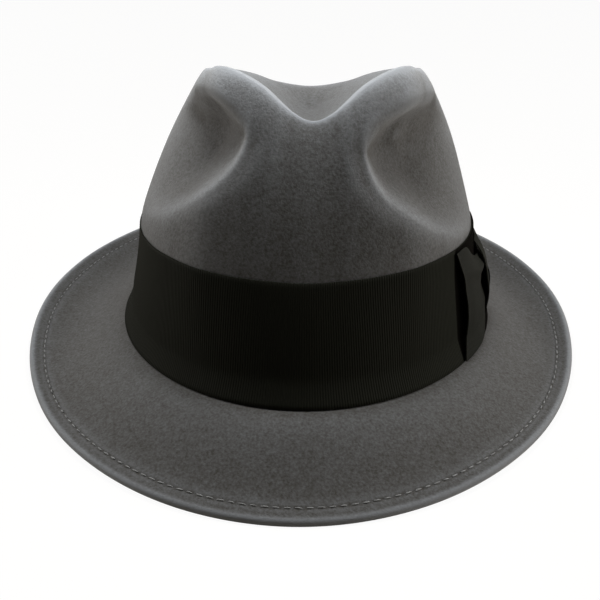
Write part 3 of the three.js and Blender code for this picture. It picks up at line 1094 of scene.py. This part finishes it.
@dataclass(frozen=True)
class Ribs:
    """Grosgrain ribs across a ribbon, from its own map."""

    wander_along: float = 420.0
    wander_across: float = 30.0

    def group(self) -> bpy.types.NodeTree:
        """Makes the node group."""
        start = {"Pitch": 0.0011, "Unevenness": 0.25}
        make = group_tree("Grosgrain ribs", start, ("Height",))
        given = make.add("NodeGroupInput").outputs
        place = make.add("ShaderNodeUVMap", uv_map="ribbon").outputs["UV"]
        parts = make.add("ShaderNodeSeparateXYZ", {0: place}).outputs
        stretched = make.add(
            "ShaderNodeCombineXYZ",
            {
                "X": make.scaled(parts["X"], self.wander_along),
                "Y": make.scaled(parts["Y"], self.wander_across),
            },
        ).outputs[0]
        thread = make.swing(make.noise(stretched, 1.0, 2.0), given["Unevenness"])
        turn = make.math("DIVIDE", parts["X"], given["Pitch"])
        wave = make.math("SINE", make.scaled(turn, 2 * math.pi))
        height = make.math("ADD", make.scaled(wave, 0.5), thread)
        make.add("NodeGroupOutput", {"Height": height})
        return make.tree


class Surface(NamedTuple):
    """What a finish adds to its colours: a shade, and a bent normal or None."""

    shade: Socket
    normal: Socket | None


class Patterns(NamedTuple):
    """The node groups that the finishes share."""

    nap: bpy.types.NodeTree
    ribs: bpy.types.NodeTree


@dataclass(frozen=True, kw_only=True)
class Finish:
    """Colours and gloss that every finish has."""

    name: str
    dark: tuple[float, float, float]
    light: tuple[float, float, float]
    roughness: float
    sheen: float
    sheen_roughness: float
    specular: float
    contrast: float

    def surface(self, make: NodeMaker, patterns: Patterns) -> Surface:
        """The finish's own shade and normal."""
        raise NotImplementedError

    def material(self, patterns: Patterns) -> bpy.types.Material:
        """Makes the material, coloured between dark and light by the shade."""
        made, make = new_material(self.name)
        shade, normal = self.surface(make, patterns)
        inputs = {
            "Base Color": make.colour(shade, self.dark, self.light),
            "Roughness": self.roughness,
            "Sheen Weight": self.sheen,
            "Sheen Roughness": self.sheen_roughness,
            "Specular IOR Level": self.specular,
        }
        if normal is not None:
            inputs["Normal"] = normal
        shader = make.add("ShaderNodeBsdfPrincipled", inputs)
        make.add("ShaderNodeOutputMaterial", {"Surface": shader.outputs[0]})
        return made


@dataclass(frozen=True, kw_only=True)
class FeltFinish(Finish):
    """Smooth fur felt: fine short fibres, slightly mottled, with painted highlights on its crests
    and up-facing tops.
    """

    name: str = "fur_felt"
    contrast: float = 1.3
    fibre: float = 950.0
    mottle: float = 70.0
    relief: float = 0.4
    relief_depth: float = 0.0006
    even: float = -0.33
    highlight_gain: float = 1.95

    def surface(self, make: NodeMaker, patterns: Patterns) -> Surface:
        """The nap, made paler by a painted highlight on crests and up-facing tops."""
        nap = make.group(
            patterns.nap, Fibre=self.fibre, Mottle=self.mottle, Contrast=self.contrast
        )
        crest_highlight = make.add("ShaderNodeAttribute", attribute_name="crest_highlight").outputs["Fac"]
        # Painted highlight: the felt turns towards its light colour on crests and up-facing tops.
        painted_highlight = make.math("ADD", make.swing(crest_highlight, self.highlight_gain), self.even)
        shade = make.math("ADD", nap["Shade"], painted_highlight)
        return Surface(shade, make.bump(nap["Height"], self.relief, self.relief_depth))


@dataclass(frozen=True, kw_only=True)
class RibbonFinish(Finish):
    """Black grosgrain ribbon with upright ribs."""

    sheen: float = 0.0
    sheen_roughness: float = 0.4
    contrast: float = 0.5
    pitch: float = 0.0011
    relief: float = 0.8
    relief_depth: float = 0.0002

    def surface(self, make: NodeMaker, patterns: Patterns) -> Surface:
        """The ribs, with a little dust."""
        ribs = make.group(patterns.ribs, Pitch=self.pitch)
        dust = make.group(patterns.nap, Contrast=self.contrast)
        return Surface(dust["Shade"], make.bump(ribs["Height"], self.relief, self.relief_depth))


@dataclass(frozen=True, kw_only=True)
class ThreadFinish(Finish):
    """Pale grey sewing thread."""

    name: str = "stitch_thread"
    contrast: float = 1.4
    fibre: float = 2600.0

    def surface(self, make: NodeMaker, patterns: Patterns) -> Surface:
        """Fine fibres, with no relief."""
        nap = make.group(patterns.nap, Fibre=self.fibre, Contrast=self.contrast)
        return Surface(nap["Shade"], None)


@dataclass
class BrimStitches:
    """The row of stitches that holds the welt, made by Geometry Nodes along its line."""

    body: FeltBody
    pitch: float = 4.2
    length: float = 2.9
    thread: float = 0.62
    lift: float = 0.22
    seed: int = 7
    line_points: int = 720
    segments: int = 8
    rings: int = 6
    least_size: tuple[float, float, float] = (0.86, 0.85, 0.85)
    most_size: tuple[float, float, float] = (1.1, 1.15, 1.1)
    most_turn: tuple[float, float, float] = (0.0, 0.05, 0.1)

    def line(self, rest: Rest) -> bpy.types.Object:
        """The stitch line as a closed chain of edges."""
        angle = np.linspace(-180, 180, self.line_points, endpoint=False)
        place = self.body.form.brim_inset(angle, np.full_like(angle, self.body.stitch_inset))
        place[:, 2] += self.lift - self.body.groove_depth
        placed = rest.settle(place)
        count = len(placed)
        edges = [(k, (k + 1) % count) for k in range(count)]
        mesh = bpy.data.meshes.new("brim_stitches")
        mesh.from_pydata(placed.tolist(), edges, [])
        return add_object("brim_stitches", mesh)

    def tree(self) -> bpy.types.NodeTree:
        """The tree that sets a thread of stitches along a line."""
        tree = bpy.data.node_groups.new("Stitch row", "GeometryNodeTree")
        kinds = {
            "Geometry": "Geometry",
            "Pitch": "Float",
            "Length": "Float",
            "Thread": "Float",
            "Seed": "Int",
            "Material": "Material",
        }
        for name, kind in kinds.items():
            tree.interface.new_socket(name, in_out="INPUT", socket_type=f"NodeSocket{kind}")
        tree.interface.new_socket("Geometry", in_out="OUTPUT", socket_type="NodeSocketGeometry")
        make = NodeMaker(tree)
        given = make.add("NodeGroupInput").outputs
        path = make.add("GeometryNodeMeshToCurve", {"Mesh": given["Geometry"]}).outputs[0]
        spaced = make.add(
            "GeometryNodeResampleCurve", {"Curve": path, "Length": given["Pitch"]}, mode="LENGTH"
        ).outputs[0]
        tangent = make.add("GeometryNodeInputTangent").outputs[0]
        aligned = make.add("FunctionNodeAlignRotationToVector", {"Vector": tangent}, axis="X")
        size = make.add(
            "ShaderNodeCombineXYZ",
            {"X": given["Length"], "Y": given["Thread"], "Z": given["Thread"]},
        ).outputs[0]
        ball = make.add(
            "GeometryNodeMeshUVSphere",
            {"Segments": self.segments, "Rings": self.rings, "Radius": 0.5},
        ).outputs["Mesh"]
        stitch = make.add("GeometryNodeTransform", {"Geometry": ball, "Scale": size}).outputs[0]
        uneven = make.random(given["Seed"], self.least_size, self.most_size)
        least_turn = tuple(-turn for turn in self.most_turn)
        wobble = make.random(make.math("ADD", given["Seed"], 1.0), least_turn, self.most_turn)
        turned = make.add(
            "FunctionNodeRotateRotation",
            {0: aligned.outputs[0], 1: wobble},
            rotation_space="LOCAL",
        ).outputs[0]
        placed = make.add(
            "GeometryNodeInstanceOnPoints",
            {"Points": spaced, "Instance": stitch, "Rotation": turned, "Scale": uneven},
        ).outputs[0]
        real = make.add("GeometryNodeRealizeInstances", {"Geometry": placed}).outputs[0]
        smooth = make.add("GeometryNodeSetShadeSmooth", {0: real}).outputs[0]
        dressed = make.add(
            "GeometryNodeSetMaterial", {"Geometry": smooth, "Material": given["Material"]}
        ).outputs[0]
        make.add("NodeGroupOutput", {0: dressed})
        return tree

    def build(self, rest: Rest, material: bpy.types.Material) -> bpy.types.Object:
        """Makes the stitches as one plain mesh."""
        made = self.line(rest)
        tree = self.tree()
        values = {
            "Pitch": self.pitch * METRES,
            "Length": self.length * METRES,
            "Thread": self.thread * METRES,
            "Seed": self.seed,
            "Material": material,
        }
        modifier = made.modifiers.new("stitch row", "NODES")
        modifier.node_group = tree
        for item in tree.interface.items_tree:
            if item.in_out == "INPUT" and item.name in values:
                modifier[item.identifier] = values[item.name]
        graph = bpy.context.evaluated_depsgraph_get()
        graph.update()
        result = bpy.data.meshes.new_from_object(made.evaluated_get(graph))
        made.modifiers.remove(modifier)
        made.data = result
        return made


class LightKind(Enum):
    """The lamps of the studio."""

    TOP = "top"
    LEFT = "left"
    RIGHT = "right"


@dataclass(frozen=True)
class SoftLight:
    """A square soft light that looks at the hat: its place and side in metres, and watts."""

    kind: LightKind
    at: tuple[float, float, float]
    side: float
    watts: float
    colour: tuple[float, float, float] = (1.0, 0.98, 0.95)

    def build(self, target: Vector) -> bpy.types.Object:
        """Adds the lamp."""
        data = bpy.data.lights.new(f"{self.kind.value}_light", "AREA")
        data.energy = self.watts
        data.size = self.side
        data.color = self.colour
        made = add_object(data.name, data)
        made.location = self.at
        aim = target - Vector(self.at)
        made.rotation_euler = aim.to_track_quat("-Z", "Y").to_euler()
        return made


@dataclass
class Studio:
    """A pale floor, soft lights and the camera at the photograph's angle.

    The camera's distance is in millimetres, as the hat's form is, and its centre in
    pixels. Everything else is in metres.
    """

    distance: float = 450
    elevation: float = 24.9
    focal_pixels: float = 900
    centre_x: float = 305.7
    centre_y: float = 298
    sensor_mm: float = 36
    nearest: float = 0.01
    floor_side: float = 6.0
    floor_colour: tuple[float, float, float, float] = (0.5, 0.46, 0.4, 1)
    floor_glow: float = 1.12
    glow_share: float = 0.85
    surround_colour: tuple[float, float, float, float] = (1, 0.93, 0.84, 1)
    surround_light: float = 0.02
    lights: tuple[SoftLight, ...] = (
        SoftLight(LightKind.TOP, (0, -0.01, 0.3), 0.14, 0.76, (0.96, 0.985, 1.0)),
        SoftLight(LightKind.RIGHT, (1.1, 0.05, 0.34), 0.6, 8.2),
        SoftLight(LightKind.LEFT, (-1.1, 0.35, 0.32), 0.6, 7.2),
    )
    aim: tuple[float, float, float] = (0, 0, 0.09)

    def camera(self, rest: Rest) -> bpy.types.Object:
        """The camera, set on the crown's foot as the photograph is."""
        rise = math.radians(self.elevation)
        eye = np.array([0, -self.distance * math.cos(rise), self.distance * math.sin(rise)])
        spots = rest.place(np.stack([eye, np.zeros(3), eye + (1, 0, 0)]))
        at, target, side = (Vector(spot) for spot in spots)
        back = (at - target).normalized()
        right = (side - at).normalized()
        up = back.cross(right)
        data = bpy.data.cameras.new("photo_camera")
        data.sensor_width = self.sensor_mm
        data.lens = self.focal_pixels / FRAME_PIXELS * data.sensor_width
        data.shift_x = (FRAME_PIXELS / 2 - self.centre_x) / FRAME_PIXELS
        data.shift_y = (self.centre_y - FRAME_PIXELS / 2) / FRAME_PIXELS
        data.clip_start = self.nearest
        made = add_object("photo_camera", data)
        turn = Matrix((right, up, back)).transposed().to_4x4()
        made.matrix_world = Matrix.Translation(at) @ turn
        bpy.context.scene.camera = made
        return made

    def floor(self) -> bpy.types.Object:
        """The pale floor, which isn't part of the hat."""
        half = self.floor_side / 2
        mesh = bpy.data.meshes.new("floor")
        corners = [(-half, -half, 0), (half, -half, 0), (half, half, 0), (-half, half, 0)]
        mesh.from_pydata(corners, [], [(0, 1, 2, 3)])
        made = add_object("floor", mesh)
        mesh.materials.append(self.paper())
        return made

    def paper(self) -> bpy.types.Material:
        """White paper that looks evenly lit but throws little light back at the hat."""
        made, make = new_material("pale_floor")
        matt = make.add("ShaderNodeBsdfDiffuse", {"Color": self.floor_colour})
        glow = make.add("ShaderNodeEmission", {"Color": WHITE, "Strength": self.floor_glow})
        seen = make.add("ShaderNodeLightPath").outputs["Is Camera Ray"]
        share = make.scaled(seen, self.glow_share)
        both = make.add("ShaderNodeMixShader", {0: share, 1: matt.outputs[0], 2: glow.outputs[0]})
        make.add("ShaderNodeOutputMaterial", {"Surface": both.outputs[0]})
        return made

    def world(self) -> None:
        """An even surround that looks pale but lights the hat only dimly."""
        world = bpy.data.worlds.new("surround")
        world.use_nodes = True
        make = NodeMaker(world.node_tree)
        dim_inputs = {"Color": self.surround_colour, "Strength": self.surround_light}
        dim = make.add("ShaderNodeBackground", dim_inputs)
        pale = make.add("ShaderNodeBackground", {"Color": WHITE, "Strength": 1.0})
        seen = make.add("ShaderNodeLightPath").outputs["Is Camera Ray"]
        both = make.add("ShaderNodeMixShader", {0: seen, 1: dim.outputs[0], 2: pale.outputs[0]})
        make.add("ShaderNodeOutputWorld", {"Surface": both.outputs[0]})
        bpy.context.scene.world = world

    def build(self, rest: Rest) -> None:
        """Sets up the camera, floor, surround and lights."""
        self.camera(rest)
        self.floor()
        self.world()
        for light in self.lights:
            light.build(Vector(self.aim))
        bpy.context.scene.view_settings.view_transform = "Standard"


@dataclass
class Trilby:
    """The whole hat."""

    form: HatForm
    felt_finish: FeltFinish
    ribbon_finish: RibbonFinish
    bow_finish: RibbonFinish
    # A darker copy of the bow ribbon for the tail: painted shade for the gap under the front wing.
    shaded_tail_finish: RibbonFinish
    thread_finish: ThreadFinish

    def build(self) -> Rest:
        """Builds each piece in order and puts it in the frame.

        Returns:
            Where the hat stands.
        """
        patterns = Patterns(Nap().group(), Ribs().group())
        body = FeltBody(self.form)
        rows = body.rows()
        rest = Rest.of(rows, body.pressed)
        shell = body.build(rest, rows)
        self.dress(shell, self.felt_finish.material(patterns), "felt_body")
        band = RibbonBand(self.form)
        wound = band.build(rest)
        self.dress(wound, self.ribbon_finish.material(patterns), "hat_band")
        self.dress_bow(Bow(band), rest, patterns)
        thread = self.thread_finish.material(patterns)
        stitches = BrimStitches(body).build(rest, thread)
        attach(stitches, "root")
        log.info("brim_stitches: %d faces", len(stitches.data.polygons))
        return rest

    def dress_bow(self, bow: Bow, rest: Rest, patterns: Patterns) -> None:
        """Builds the four pieces of the bow.

        Args:
            bow: Its form.
            rest: Where the hat stands.
            patterns: The node groups of the finishes.
        """
        ribbon = self.bow_finish.material(patterns)
        tail = bow.base(rest)
        front = bow.wing("bow_front", FRONT_WING, -bow.front_length, rest)
        back = bow.wing("bow_back", BACK_WING, bow.back_length, rest)
        pieces = (
            # The tail's material is painted shade: a darker copy of the same ribbon.
            (tail, self.shaded_tail_finish.material(patterns), "bow_base"),
            (front, ribbon, "bow_wing_front"),
            (back, ribbon, "bow_wing_back"),
            (bow.knot(rest), ribbon, "bow_knot"),
        )
        for piece, material, node in pieces:
            self.dress(piece, material, node)

    def dress(
        self, piece: bpy.types.Object, material: bpy.types.Material, node: str
    ) -> None:
        """Gives a piece its material and sets it in the place of a node.

        Args:
            piece: The object.
            material: Its finish.
            node: The node that it stands for.
        """
        piece.data.materials.append(material)
        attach(piece, "root")
        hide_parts(node)
        log.info("%s: %d faces, in place of %s", piece.name, len(piece.data.polygons), node)


def main() -> None:
    """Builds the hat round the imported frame, then the studio."""
    logging.basicConfig(level=logging.INFO, format="%(name)s: %(message)s")
    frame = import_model()
    log.info("frame nodes: %s", ", ".join(sorted(frame["nodes"])))
    hat = Trilby(
        form=HatForm(),
        felt_finish=FeltFinish(
            dark=(0.049, 0.043, 0.0355),
            # The cool light colour is reached mostly on crests and up-facing tops, where it is a
            # painted highlight.
            light=(0.245, 0.252, 0.262),
            roughness=0.92,
            sheen=0.25,
            sheen_roughness=0.6,
            specular=0.15,
        ),
        ribbon_finish=RibbonFinish(
            name="grosgrain",
            dark=(0.0105, 0.0107, 0.0079),
            light=(0.0222, 0.0227, 0.0168),
            roughness=0.7,
            specular=0.03,
        ),
        bow_finish=RibbonFinish(
            name="bow_grosgrain",
            dark=(0.0085, 0.0088, 0.0064),
            light=(0.018, 0.0186, 0.0137),
            roughness=0.7,
            specular=0.09,
        ),
        # Painted shade: the same ribbon made much darker, for the dark gap under the front wing.
        shaded_tail_finish=RibbonFinish(
            name="tail_grosgrain_painted_shade",
            dark=(0.0022, 0.0019, 0.0014),
            light=(0.0048, 0.004, 0.003),
            roughness=0.85,
            specular=0.02,
        ),
        thread_finish=ThreadFinish(
            dark=(0.2, 0.2, 0.198),
            light=(0.36, 0.36, 0.352),
            roughness=0.7,
            sheen=0.2,
            sheen_roughness=0.5,
            specular=0.3,
        ),
    )
    rest = hat.build()
    log.info("rest: tilt %.2f degrees, lift %.2f mm", math.degrees(rest.tilt), rest.lift)
    Studio().build(rest)


if __name__ == "__main__":
    main()
